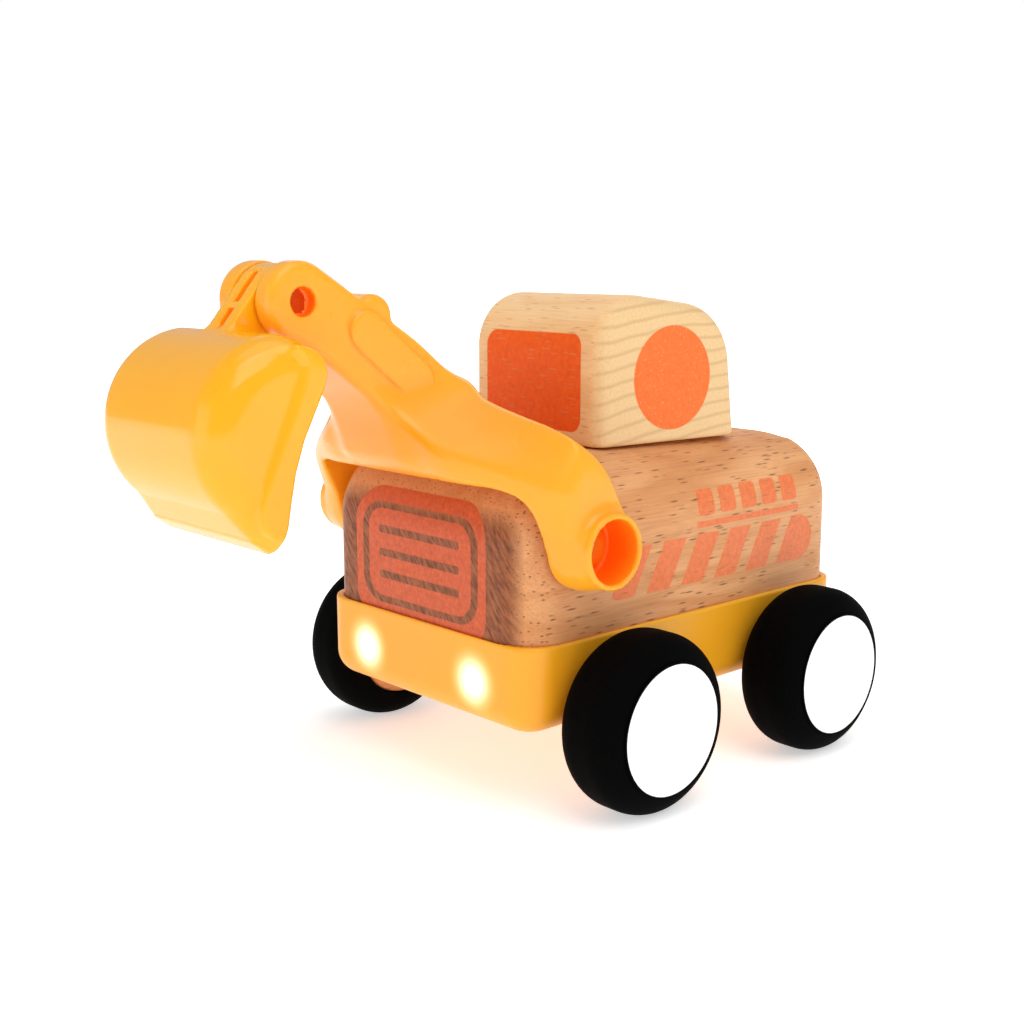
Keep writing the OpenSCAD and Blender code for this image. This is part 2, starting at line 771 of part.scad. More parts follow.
module cell(i) {
    color([0.78, 0.78, 0.76]) placed() translate([cell_x, (i - 1.5) * cell_t, cell_z]) rotate([-90, 0, 0])
        rotate_extrude() {
            square([cell_r, cell_t - 0.7]);
            square([cell_r - 1.2, cell_t]);
        }
}

module cell_1() {
    cell(0);
}

module cell_2() {
    cell(1);
}

module cell_3() {
    cell(2);
}

cell_end = 1.5 * cell_t;

module contact_plus() {
    color([0.85, 0.75, 0.45]) placed() {
        box([cell_x - 4, -contact_y - contact_t, contact_low], [cell_x + 4, -contact_y, contact_high]);
        rod_y(cell_x, cell_z, 2.6, -contact_y - 0.1, -cell_end);
    }
}

module contact_minus() {
    color([0.85, 0.75, 0.45]) placed() {
        box([cell_x - 4, contact_y, contact_low], [cell_x + 4, contact_y + contact_t, contact_high]);
        rod_y(cell_x, cell_z, 2.6, cell_end, contact_y + 0.1);
    }
}

// Round wire swept from point a to point b with a sideways bow and a sag
wire_r = 0.6;
wire_sides = 10;
wire_steps = 24;

function wire_point(a, b, bow, lift, t) = [
    a[0] + (b[0] - a[0]) * t,
    a[1] + (b[1] - a[1]) * t * t * (3 - 2 * t) + bow * sin(180 * t),
    a[2] + (b[2] - a[2]) * t * t * (3 - 2 * t) + lift * sin(180 * t)];

module wire(a, b, bow, lift) {
    rings = [for (i = [0 : wire_steps]) let (p = wire_point(a, b, bow, lift, i / wire_steps))
        for (k = [0 : wire_sides - 1])
            [p[0], p[1] + wire_r * cos(360 * k / wire_sides), p[2] + wire_r * sin(360 * k / wire_sides)]];
    last = wire_steps * wire_sides;
    sides = [for (i = [0 : wire_steps - 1])
        for (k = [0 : wire_sides - 1])
            let (n = (k + 1) % wire_sides)
                [i * wire_sides + k, (i + 1) * wire_sides + k, (i + 1) * wire_sides + n, i * wire_sides + n]];
    polyhedron(points = rings, faces = concat(
        [[for (k = [0 : wire_sides - 1]) k]],
        [[for (k = [wire_sides - 1 : -1 : 0]) last + k]],
        sides));
}

wire_start_x = cell_x + 4.02;
wire_start_y = contact_y - 0.2;
wire_z = 30.5;
board_back = board_x - 0.02;
switch_tab_z = floor_z + switch_h - 1;

module wire_plus() {
    color([0.8, 0.1, 0.1]) placed()
        wire([wire_start_x, -wire_start_y, wire_z], [board_back, -9, 30], 0, 0.8);
}

module wire_minus() {
    color([0.08, 0.08, 0.08]) placed()
        wire([wire_start_x, wire_start_y, wire_z], [switch_x - switch_half_x - 0.02, 3, switch_tab_z], 0, 0);
}

module wire_switch() {
    color([0.08, 0.08, 0.08]) placed()
        wire([switch_x + switch_half_x + 0.02, 3, switch_tab_z], [board_back, 9, 30], 0, 3.4);
}

module battery_door() {
    color(plastic_yellow) placed() difference() {
        union() {
            box([cell_x - door_half_x + 0.1, -door_half_y + 0.1, tray_bottom],
                [cell_x + door_half_x - 0.1, door_end_y - 0.1, tray_bottom + door_t]);
            box([cell_x - box_half_x + 0.2, -box_half_y + 0.2, tray_bottom + 0.5],
                [cell_x + box_half_x - 0.2, box_half_y - 0.2, floor_z]);
        }
        translate([cell_x, door_screw_y, tray_bottom - 1]) cylinder(r = door_screw_r + 0.1, h = 8);
        translate([cell_x, door_screw_y, tray_bottom - 1]) cylinder(r = door_head_r + 0.15, h = 1.6);
    }
}

module door_screw() {
    color(steel_grey) placed() translate([cell_x, door_screw_y, tray_bottom]) {
        difference() {
            cylinder(r = door_head_r, h = 0.6);
            cross_cut(2.4, 0.5, 0.25);
        }
        translate([0, 0, 0.5]) cylinder(r = door_screw_r, h = 7);
    }
}

module tyre_fl() {
    tyre(0, 1);
}

module tyre_fr() {
    tyre(0, -1);
}

module tyre_rl() {
    tyre(rear_x, 1);
}

module tyre_rr() {
    tyre(rear_x, -1);
}

module hub_fl() {
    hub(0, 1);
}

module hub_fr() {
    hub(0, -1);
}

module hub_rl() {
    hub(rear_x, 1);
}

module hub_rr() {
    hub(rear_x, -1);
}

module disc_fl() {
    hub_disc(0, 1);
}

module disc_fr() {
    hub_disc(0, -1);
}

module disc_rl() {
    hub_disc(rear_x, 1);
}

module disc_rr() {
    hub_disc(rear_x, -1);
}

body_block();
cab_block();
cab_screw();
cab_washer();
chassis_tray();
body_screws();
boom();
boom_axle();
boom_caps();
bucket();
bucket_pin();
front_axle();
rear_axle();
tyre_fl();
tyre_fr();
tyre_rl();
tyre_rr();
hub_fl();
hub_fr();
hub_rl();
hub_rr();
disc_fl();
disc_fr();
disc_rl();
disc_rr();
lens_left();
lens_right();
led_left();
led_right();
circuit_board();
switch_body();
switch_knob();
cell_1();
cell_2();
cell_3();
contact_plus();
contact_minus();
wire_plus();
wire_minus();
wire_switch();
battery_door();
door_screw();
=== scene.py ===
import bpy
import bmesh
import json
import math
import numpy as np
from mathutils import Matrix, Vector


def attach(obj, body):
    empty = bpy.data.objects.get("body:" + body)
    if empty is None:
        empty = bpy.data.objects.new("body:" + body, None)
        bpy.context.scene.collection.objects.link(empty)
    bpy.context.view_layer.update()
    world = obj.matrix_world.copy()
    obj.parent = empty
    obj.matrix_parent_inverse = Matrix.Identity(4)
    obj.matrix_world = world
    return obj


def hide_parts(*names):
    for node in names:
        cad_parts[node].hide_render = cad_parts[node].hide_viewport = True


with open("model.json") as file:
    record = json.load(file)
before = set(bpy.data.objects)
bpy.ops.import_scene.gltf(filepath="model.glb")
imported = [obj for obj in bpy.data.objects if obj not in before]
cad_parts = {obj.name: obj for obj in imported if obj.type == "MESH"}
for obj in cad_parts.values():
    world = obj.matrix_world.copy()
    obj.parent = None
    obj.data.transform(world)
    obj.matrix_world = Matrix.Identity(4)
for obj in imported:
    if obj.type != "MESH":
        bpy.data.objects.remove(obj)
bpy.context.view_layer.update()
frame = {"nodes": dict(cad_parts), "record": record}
nodes = frame["nodes"]

# ---------------------------------------------------------------- frame numbers, mm from the front axle
DX = -2.3
PIVOT = (10.4, 58.7)
TIP = (59.9, 109.8)
BUCKET = (70.5, 85.5)
BODY_FRONT, BODY_REAR, BODY_HW, BODY_TOP, SEAT = 24.2, -84.0, 35.8, 75.4, 35.4
CAB_X, CAB_TURN = -34.7, math.radians(-5)
CAB_HL, CAB_HW, CAB_BASE, CAB_TOP = 22.8, 24.1, 75.8, 111.8
TRAY_FRONT, TRAY_HW = 25.1, 36.7
LENS_Y, LENS_Z = 19.1, 27.8

WHEEL_R = 20.0
REAR_AXLE_X = -60.2
# axle position, side of the toy, body it turns with
WHEELS = {"fl": (0, 1, "front_wheels"), "fr": (0, -1, "front_wheels"),
          "rl": (REAR_AXLE_X, 1, "rear_wheels"), "rr": (REAR_AXLE_X, -1, "rear_wheels")}
BODY_CORNER_R = 9.3
BODY_SHOULDER_R = 17.5
ROD_BORE_R = 2.0            # the boom's rod through the wooden body
LOOSE_BORE_R = 2.06         # turning fits: boom on its rod, axles in the tray, the cab's screw
TRAY_BOTTOM, TRAY_RIM = 18.0, 37.9
TRAY_WALL = 2.0
BUCKET_WALL = 1.8


# ---------------------------------------------------------------- distance fields
def length2(a, b):
    return np.sqrt(a * a + b * b)


def smin(a, b, k):
    h = np.clip(0.5 + 0.5 * (b - a) / k, 0, 1)
    return b * (1 - h) + a * h - k * h * (1 - h)


def smax(a, b, k):
    return -smin(-a, -b, k)


def chaikin(points, rounds):
    p = np.array(points, float)
    for _ in range(rounds):
        q = np.roll(p, -1, axis=0)
        p = np.stack([0.75 * p + 0.25 * q, 0.25 * p + 0.75 * q], axis=1).reshape(-1, 2)
    return p


def poly2(u, v, points):
    """Signed distance to a closed outline, negative inside."""
    p = np.array(points, float)
    q = np.roll(p, -1, axis=0)
    best = np.full(np.broadcast(u, v).shape, 1e9)
    inside = np.zeros(best.shape, bool)
    for (ax, ay), (bx, by) in zip(p, q):
        ex, ey = bx - ax, by - ay
        wx, wy = u - ax, v - ay
        t = np.clip((wx * ex + wy * ey) / (ex * ex + ey * ey + 1e-12), 0, 1)
        best = np.minimum(best, (wx - t * ex) ** 2 + (wy - t * ey) ** 2)
        if by != ay:
            cross = ((ay > v) != (by > v)) & (u < (bx - ax) * (v - ay) / (by - ay) + ax)
            inside = inside ^ cross
    d = np.sqrt(best)
    return np.where(inside, -d, d)


def circle2(u, v, cu, cv, r):
    return length2(u - cu, v - cv) - r


def slab(d2, w, half, r):
    """A 2-D field carried across w = -half..half, with its edges rounded by r."""
    a = d2 + r
    b = np.abs(w) - half + r
    return length2(np.maximum(a, 0), np.maximum(b, 0)) + np.minimum(np.maximum(a, b), 0) - r


def box3(x, y, z, lo, hi, r):
    c = [(lo[i] + hi[i]) / 2 for i in range(3)]
    h = [(hi[i] - lo[i]) / 2 - r for i in range(3)]
    qx, qy, qz = np.abs(x - c[0]) - h[0], np.abs(y - c[1]) - h[1], np.abs(z - c[2]) - h[2]
    out = np.sqrt(np.maximum(qx, 0) ** 2 + np.maximum(qy, 0) ** 2 + np.maximum(qz, 0) ** 2)
    return out + np.minimum(np.maximum(qx, np.maximum(qy, qz)), 0) - r


GRADIENT_STEP = 0.02        # mm either side, for the slope of a field
PULL_ROUNDS = 3             # Newton steps onto the surface
LONGEST_PULL = 0.6          # of a mesh step, in one Newton step
UNFOLD_ROUNDS = 4
FOLD_COSINE = 0.35          # a face whose normal turned further than this has folded


def quad_normals(verts, quads):
    a = verts[quads[:, 2]] - verts[quads[:, 0]]
    b = verts[quads[:, 3]] - verts[quads[:, 1]]
    n = np.cross(a, b)
    return n / np.maximum(np.linalg.norm(n, axis=1), 1e-9)[:, None]


def surface(field, lo, hi, step):
    """Closed quad mesh where the field is zero. Positions in mm from the front axle."""
    lo = np.array(lo, float)
    n = np.ceil((np.array(hi, float) - lo) / step).astype(int) + 1
    ax = [lo[i] + step * np.arange(n[i]) for i in range(3)]
    grid = np.broadcast_to(
        field(ax[0][:, None, None], ax[1][None, :, None], ax[2][None, None, :]), tuple(n)
    ).astype(np.float32)
    neg = grid < 0
    cells = tuple(n - 1)
    acc = np.zeros(cells + (3,), np.float32)
    cnt = np.zeros(cells, np.int16)
    for a in range(3):
        b, c = [i for i in range(3) if i != a]
        for ob in (0, 1):
            for oc in (0, 1):
                s0, s1 = [None] * 3, [None] * 3
                s0[a], s1[a] = slice(0, n[a] - 1), slice(1, n[a])
                s0[b] = s1[b] = slice(ob, n[b] - 1 + ob)
                s0[c] = s1[c] = slice(oc, n[c] - 1 + oc)
                f0, f1 = grid[tuple(s0)], grid[tuple(s1)]
                hit = neg[tuple(s0)] != neg[tuple(s1)]
                t = f0[hit] / (f0[hit] - f1[hit])
                add = np.zeros((t.size, 3), np.float32)
                add[:, a], add[:, b], add[:, c] = t, ob, oc
                acc[hit] += add
                cnt[hit] += 1
    on = cnt > 0
    ids = np.full(cells, -1, np.int64)
    ids[on] = np.arange(on.sum())
    where = np.argwhere(on)
    verts = lo + step * (where + acc[on] / cnt[on][:, None])
    quads = []
    for a in range(3):
        b, c = [(1, 2), (2, 0), (0, 1)][a]
        s0, s1 = [slice(1, m - 1) for m in n], [slice(1, m - 1) for m in n]
        s0[a], s1[a] = slice(0, n[a] - 1), slice(1, n[a])
        n0, n1 = neg[tuple(s0)], neg[tuple(s1)]
        for flip in (False, True):
            e = np.argwhere((n0 & ~n1) if not flip else (~n0 & n1))
            if not len(e):
                continue
            e = e + np.array([0 if i == a else 1 for i in range(3)])
            corner = []
            for db, dc in ((-1, -1), (0, -1), (0, 0), (-1, 0)):
                q = e.copy()
                q[:, b] += db
                q[:, c] += dc
                corner.append(ids[q[:, 0], q[:, 1], q[:, 2]])
            quad = np.stack(corner, axis=1)
            quads.append(quad[:, ::-1] if flip else quad)
    quads = np.concatenate(quads)
    start = verts.copy()
    e = GRADIENT_STEP
    for _ in range(PULL_ROUNDS):
        x, y, z = verts.T
        f = field(x, y, z)
        g = np.stack([
            field(x + e, y, z) - field(x - e, y, z),
            field(x, y + e, z) - field(x, y - e, z),
            field(x, y, z + e) - field(x, y, z - e)], axis=1) / (2 * e)
        g2 = np.maximum((g * g).sum(axis=1), 0.25)
        move = g * (f / g2)[:, None]
        size = np.sqrt((move * move).sum(axis=1))
        move *= np.minimum(1, LONGEST_PULL * step / np.maximum(size, 1e-9))[:, None]
        verts = verts - move
    # where pulling onto the surface folded a face over, its corners go back to where they started
    for _ in range(UNFOLD_ROUNDS):
        before, after = quad_normals(start, quads), quad_normals(verts, quads)
        folded = (before * after).sum(axis=1) < FOLD_COSINE
        if not folded.any():
            break
        corners = np.unique(quads[folded])
        verts[corners] = start[corners]
    return verts, quads


def mesh_object(name, verts, faces):
    """A smooth-shaded mesh; verts in mm from the front axle."""
    v = (np.asarray(verts, float) + np.array([DX, 0, 0])) / 1000
    me = bpy.data.meshes.new(name)
    me.from_pydata(v.tolist(), [], np.asarray(faces).tolist())
    me.validate()
    me.shade_smooth()
    ob = bpy.data.objects.new(name, me)
    bpy.context.collection.objects.link(ob)
    return ob


def fields_to_object(name, field, lo, hi, step):
    verts, quads = surface(field, lo, hi, step * (1))
    return mesh_object(name, verts, quads)


# ---------------------------------------------------------------- boom
NECK = [(14.5, 79.5), (17.2, 86.5), (18.4, 90.4), (23.4, 95.0), (30.9, 101.1), (36.9, 104.9), (38.4, 105.9),
        (41.6, 107.8), (47.2, 111.2), (55.6, 116.6), (58.2, 117.7), (64.9, 116.0), (67.9, 109.8),
        (64.6, 103.3), (58.9, 100.9), (53.1, 96.8), (45.4, 90.9), (39.5, 86.0), (36.6, 80.5), (34.8, 76.8),
        (26.8, 78)]
ARM = [(2.5, 63.8), (4.8, 68.8), (8.0, 74.4), (11.6, 78.6), (15.2, 82.0), (17.2, 85.6), (17.6, 97.0), (60, 97),
       (60, 78), (37, 75.6), (33.0, 73.1), (28.0, 70.4), (24.2, 66.8), (21.8, 62.6), (19.6, 58.0), (10.4, 58.7)]


def smooth_table(ys, vs, width=7):
    """Evenly spaced, rounded-off version of a few (distance from the middle, value) stations."""
    pitch = 0.5
    grid = np.arange(-20, 71, pitch)
    v = np.interp(np.abs(grid), ys, vs)
    n = int(width / pitch) | 1
    v = np.convolve(np.pad(v, n // 2, mode="edge"), np.ones(n) / n, mode="valid")
    return grid, v


# shoulders from above and in front: rear top edge, and the crease where the top turns down to the front
REAR_TOP = smooth_table([0, 10, 20, 37, 43, 47], [92.5, 91, 88.4, 84.8, 82, 78])
CREASE_X = smooth_table([0, 10, 20, 36.5, 40, 44.6, 50], [39.6, 38.8, 36.5, 27.3, 25, 22, 18.5])
CREASE_Z = smooth_table([0, 10, 20, 36.5, 44.6, 50], [89, 87.3, 79.8, 74.5, 71.5, 70])


REAR_TOP_X = 17.5
NECK_HALF, ARM_HALF = 9.8, 44.6
PILL_AT, PILL_TILT = (38.6, 98.2), math.radians(40)


def boom_field(x, y, z):
    ya = np.abs(y)
    neck2 = poly2(x, z, chaikin(NECK, 2))
    neck2 = np.minimum(neck2, circle2(x, z, TIP[0], TIP[1], 8.0))
    knuckle = circle2(x, z, 42.4, 106.6, 4.5)
    neck2 = smin(neck2, knuckle, 1.2)
    neck = slab(neck2, y, NECK_HALF, 1.8)
    arm2 = poly2(x, z, chaikin(ARM, 2))
    zr, xc, zc = (np.interp(ya, *t) for t in (REAR_TOP, CREASE_X, CREASE_Z))
    slope = (zc - zr) / (xc - REAR_TOP_X)
    top = (z - zr - slope * np.maximum(x - REAR_TOP_X, 0)) / np.sqrt(1 + slope * slope)
    front = x - xc + 0.28 * np.maximum(zc - z, 0)
    arm = smax(slab(arm2, y, ARM_HALF, 3.0), smax(top, front, 2.2), 3.5)
    boom = smin(neck, arm, 7.0)
    # tapering boss tubes
    rad = length2(x - PIVOT[0], z - PIVOT[1])
    r_out = 9.4 - (np.clip(ya - 39.5, 0, 6) / 6) ** 1.2 * 1.3
    tube = slab(rad - r_out, ya - 41.9, 5.7, 0.5)
    boom = smin(boom, tube, 2.2)
    # raised stadium on both sides of the neck
    c, s = math.cos(PILL_TILT), math.sin(PILL_TILT)
    u = (x - PILL_AT[0]) * c + (z - PILL_AT[1]) * s
    v = -(x - PILL_AT[0]) * s + (z - PILL_AT[1]) * c
    pill = length2(np.maximum(np.abs(u) - 8.6, 0), v) - 4.1
    pad = slab(pill, ya - 9.6, 1.1, 0.3)
    boom = smin(boom, pad, 0.3)
    # room for the body between the arms
    gap = np.minimum(rad - 21.6, box3(x, y, z, (-30, -60, 20), (60, 60, 71.8), 0.4))
    boom = smax(boom, -smax(gap, ya - 36.2, 9.0), 1.2)
    # open bosses
    boom = smax(boom, -np.maximum(rad - 6.9, 38.5 - ya), 0.5)
    boom = np.maximum(boom, -(rad - LOOSE_BORE_R))
    # fork at the tip
    tip = length2(x - TIP[0], z - TIP[1])
    slot = np.minimum(tip - 9.6, box3(x, y, z, (59.9, -60, 89.8), (80, 60, 129.8), 0))
    slot = np.minimum(slot, box3(x, y, z, (54.9, -60, 113.8), (61, 60, 121.8), 0))
    boom = smax(boom, -np.maximum(slot, ya - 4.5), 0.7)
    boom = smax(boom, -np.maximum(tip - 2.95, 6.9 - ya), 0.35)
    return boom


boom = fields_to_object("boom_shell", boom_field, (-3, -49, 46), (71, 49, 121), 0.6)


# ---------------------------------------------------------------- bucket
def arc(cx, cz, r, a0, a1, n):
    """n + 1 points on a circle between two angles in degrees."""
    return [(cx + r * math.cos(math.radians(a0 + (a1 - a0) * i / n)),
             cz + r * math.sin(math.radians(a0 + (a1 - a0) * i / n))) for i in range(n + 1)]


BACK = [(50, 63.5), (75.4, 63.5), (79.6, 66.8)] + arc(*BUCKET, 19, -48, 90, 30) + [(50, 104.5)]
MOUTH = [(75.2, 60), (74.7, 63.9), (73.3, 68.6), (72.4, 73.6), (71.3, 78.7), (69.2, 84.7), (66.4, 90.2),
         (64.4, 94.2), (63.7, 96.9), (64.1, 99.2), (65.6, 101.2), (67.8, 102.9), (70.5, 104.2), (74, 106)]
CREASE = [(74.4, 103), (70.2, 100.6), (68.9, 98.5), (69.6, 95.4), (71.5, 90.9), (74.4, 84.7), (77.2, 78.4),
          (79.2, 73.1), (81.4, 68.6), (84, 62)]
FACE_A, FACE_B = np.array([65.8, 114.45]), np.array([74.0, 104.3])
FACE_DIR = (FACE_B - FACE_A) / np.linalg.norm(FACE_B - FACE_A)


def bucket_field(x, y, z):
    ya = np.abs(y)
    back2 = poly2(x, z, BACK)
    mouth = poly2(x, z, MOUTH + [(130, 110), (130, 60)])
    t = np.clip((z - 63) / 9, 0, 1)
    r = 3.5 + 3.5 * t * t * (3 - 2 * t)
    shell = slab(back2, y, 22.9, r)
    band = poly2(x, z, MOUTH + CREASE)
    flange = slab(smax(band, back2 + BUCKET_WALL, 3.0), y, 23.5, 0.8)
    shell = smin(shell, flange, 1.4)
    # raised band along the cutting edge
    lip = slab(smax(back2 - 0.4, z - 66.2, 0.8), y, 20.4, 1.8)
    shell = smin(shell, lip, 0.6)
    shell = smax(shell, mouth, 1.0)
    cavity = slab(back2 + BUCKET_WALL, y, 21.7, np.maximum(r - BUCKET_WALL, 1.0))
    # tongue
    head = length2(x - TIP[0], z - TIP[1]) - 7.5
    stem = poly2(x, z, [(59.9, 109.8), (65.8, 114.45), (74.0, 104.3), (77, 100), (66, 100), (62.4, 102.7),
                        (58.9, 109.8)])
    tongue = slab(np.minimum(head, stem), y, 4.2, 0.6)
    a = (x - FACE_A[0]) * FACE_DIR[0] + (z - FACE_A[1]) * FACE_DIR[1]
    h = (x - FACE_A[0]) * FACE_DIR[1] * -1 + (z - FACE_A[1]) * FACE_DIR[0]
    for lo, hi in ((-2.2, 5.65), (7.2, 12.5)):
        across = np.abs(a - (lo + hi) / 2) - (hi - lo) / 2
        pocket = np.maximum(np.maximum(across, ya - 1.15), -(h + 2.0))
        tongue = smax(tongue, -pocket, 0.3)
    out = smin(shell, tongue, 1.6)
    out = smax(out, -cavity, 0.6)
    return np.maximum(out, -np.maximum(length2(x - TIP[0], z - TIP[1]) - 2.91, ya - 20))


bucket = fields_to_object("bucket_shell", bucket_field, (51.5, -24.6, 62.2), (90.4, 24.6, 118.4), 0.55)


# ---------------------------------------------------------------- wooden body and cab
def body_field(x, y, z):
    cx, hx = (BODY_FRONT + BODY_REAR) / 2, (BODY_FRONT - BODY_REAR) / 2
    r = BODY_CORNER_R
    qx, qy = np.abs(x - cx) - hx + r, np.abs(y) - BODY_HW + r
    plan = length2(np.maximum(qx, 0), np.maximum(qy, 0)) + np.minimum(smax(qx, qy, 2.5), 0) - r
    a, b = plan + BODY_SHOULDER_R, z - BODY_TOP + BODY_SHOULDER_R
    d = length2(np.maximum(a, 0), np.maximum(b, 0)) + np.minimum(np.maximum(a, b), 0) - BODY_SHOULDER_R
    d = smax(d, SEAT - z, 0.8)
    d = np.maximum(d, -(length2(x - PIVOT[0], z - PIVOT[1]) - ROD_BORE_R))
    from_screw = length2(x - CAB_X, y)
    screw = np.minimum(from_screw - LOOSE_BORE_R, np.maximum(from_screw - 5.2, z - 62))
    return np.maximum(d, -screw)


wood_body = fields_to_object("body_wood", body_field, (-86, -37.6, 33.6), (26.2, 37.6, 77.2), 0.85)


def cab_outline():
    """Side view of the cab: sloping roof, leaning back, rounded front and rear top corners."""
    s, lean, fr, rr = 0.13, 0.12, 13.0, 15.8
    k, m = math.sqrt(1 + s * s), math.sqrt(1 + lean * lean)
    fx, fz = CAB_HL - fr, CAB_TOP - s * fr - fr * k
    rise = CAB_TOP - s * CAB_HL - rr * k
    rx = (-CAB_HL + lean * (rise - CAB_BASE) + rr * m) / (1 - lean * s)
    rz = rise + s * rx
    low = -CAB_HL - lean * 20
    top = math.degrees(math.atan2(1, -s))
    back = math.degrees(math.atan2(lean, -1))
    return ([(CAB_HL, CAB_BASE - 20)] + arc(fx, fz, fr, 0, top, 18) + arc(rx, rz, rr, top, back, 18)
            + [(low, CAB_BASE - 20)])


CAB = cab_outline()
CC, CS = math.cos(CAB_TURN), math.sin(CAB_TURN)


def cab_field(x, y, z):
    u = (x - CAB_X) * CC + y * CS
    v = -(x - CAB_X) * CS + y * CC
    d = slab(poly2(u, z, CAB), v, CAB_HW, 3.8)
    d = smax(d, CAB_BASE - z, 0.7)
    return np.maximum(d, -np.maximum(length2(u, v) - 2.0, z - CAB_BASE - 16))


wood_cab = fields_to_object("cab_wood", cab_field, (-62.5, -29.5, 74.4), (-7.5, 29.5, 112.2), 0.8)


# ---------------------------------------------------------------- chassis tray
def plan_rect(x, y, x0, x1, hw, r):
    qx, qy = np.abs(x - (x0 + x1) / 2) - (x1 - x0) / 2 + r, np.abs(y) - hw + r
    return length2(np.maximum(qx, 0), np.maximum(qy, 0)) + np.minimum(np.maximum(qx, qy), 0) - r


def bowl(plan, z, bottom, r):
    a, b = plan + r, bottom - z + r
    return length2(np.maximum(a, 0), np.maximum(b, 0)) + np.minimum(np.maximum(a, b), 0) - r


SCREW_POSTS = ((14, 29), (14, -29), (-74, 27), (-74, -27))


def tray_field(x, y, z):
    plan = plan_rect(x, y, BODY_REAR - 0.9, TRAY_FRONT, TRAY_HW, 7.8)
    d = smax(bowl(plan, z, TRAY_BOTTOM, 6.0), z - TRAY_RIM, 0.7)
    d = smax(d, -bowl(plan + TRAY_WALL, z, TRAY_BOTTOM + TRAY_WALL, 4.0), 0.4)
    body_seat = plan_rect(x, y, BODY_REAR - 0.1, BODY_FRONT + 0.1, BODY_HW + 0.1, 9.4)
    d = np.maximum(d, -np.maximum(body_seat, SEAT - z))
    for ax in (0.0, REAR_AXLE_X):
        rib = np.maximum(np.maximum(np.abs(x - ax) - 5.4, np.abs(y) - 35.6), np.maximum(z - 24.6, 19 - z))
        d = np.minimum(d, rib)
    posts = [length2(x - px, y - py) for px, py in SCREW_POSTS]
    near_post = np.minimum(np.minimum(posts[0], posts[1]), np.minimum(posts[2], posts[3]))
    d = np.minimum(d, np.maximum(near_post - 4.2, np.maximum(z - SEAT, 19 - z)))
    d = smax(d, -np.maximum(near_post - 3.0, z - 22), 0.3)
    d = np.maximum(d, -(near_post - 1.6))
    for ax in (0.0, REAR_AXLE_X):
        d = np.maximum(d, -(length2(x - ax, z - WHEEL_R) - LOOSE_BORE_R))
        d = smax(d, -np.maximum(np.abs(x - ax) - 1.2, z - 19), 0.3)
    d = smax(d, -np.maximum(length2(np.abs(y) - LENS_Y, z - LENS_Z) - 3.3, 18 - x), 0.3)
    door = np.maximum(np.abs(x + 32) - 7.4, np.maximum(np.abs(y - 4.25) - 19.25, z - 19.3))
    hole = np.maximum(np.abs(x + 32) - 6.6, np.abs(y) - 13)
    slot = np.maximum(np.abs(x + 15) - 1.5, np.maximum(np.abs(y) - 3.3, z - 21))
    return np.maximum(d, -np.minimum(np.minimum(door, hole), slot))


tray = fields_to_object("chassis_shell", tray_field, (-86.4, -38.2, 16.6), (26.6, 38.2, 39.4), 0.7)


# ---------------------------------------------------------------- wheels: profiles turned about the axle
def lathe(name, profile, x, side, segments):
    """profile: (distance out along the axle from the toy's middle, radius), turned about the axle at x."""
    segs = segments
    verts, faces = [], []
    n = len(profile)
    for i in range(segs):
        a = 2 * math.pi * i / segs
        for y, r in profile:
            verts.append((x + r * math.cos(a), side * y, WHEEL_R + r * math.sin(a)))
    for i in range(segs):
        j = (i + 1) % segs
        for k in range(n):
            q = (i * n + k, i * n + (k + 1) % n, j * n + (k + 1) % n, j * n + k)
            faces.append(q if side < 0 else q[::-1])
    ob = mesh_object(name, verts, faces)
    bm = bmesh.new()
    bm.from_mesh(ob.data)
    bmesh.ops.remove_doubles(bm, verts=bm.verts, dist=1e-7)
    bmesh.ops.recalc_face_normals(bm, faces=bm.faces)
    bm.to_mesh(ob.data)
    bm.free()
    ob.data.shade_smooth()
    return ob


# black balloon tyre: the seat for the disc, the rounded tread from the outer to the inner side, the bore
TYRE = ([(53.04, 14.72), (55.02, 14.85), (55.08, 15.1)]
        + arc(48.1, 13, 7, 9, 90, 18) + arc(44.5, 13, 7, 90, 171, 18)
        + [(37.52, 13.6), (37.6, 13.1), (53.04, 13.1)])
HUB = [(52.9, 2.02), (52.9, 12.98), (38.3, 12.98), (37.9, 12.5), (37.9, 2.02)]
DISC = [(53.12, 0), (53.12, 14.55), (54.7, 14.6), (54.95, 14.5), (55.07, 14.25), (55.1, 13.9), (55.1, 0)]
wheel_parts = {}
for key, (ax, side, body) in WHEELS.items():
    wheel_parts[key] = (lathe("tyre_" + key + "_round", TYRE, ax, side, 160),
                        lathe("hub_" + key + "_turned", HUB, ax, side, 96),
                        lathe("disc_" + key + "_face", DISC, ax, side, 128))


# ---------------------------------------------------------------- materials
def srgb(r, g, b):
    def f(c):
        c /= 255
        return c / 12.92 if c <= 0.04045 else ((c + 0.055) / 1.055) ** 2.4
    return (f(r), f(g), f(b), 1.0)


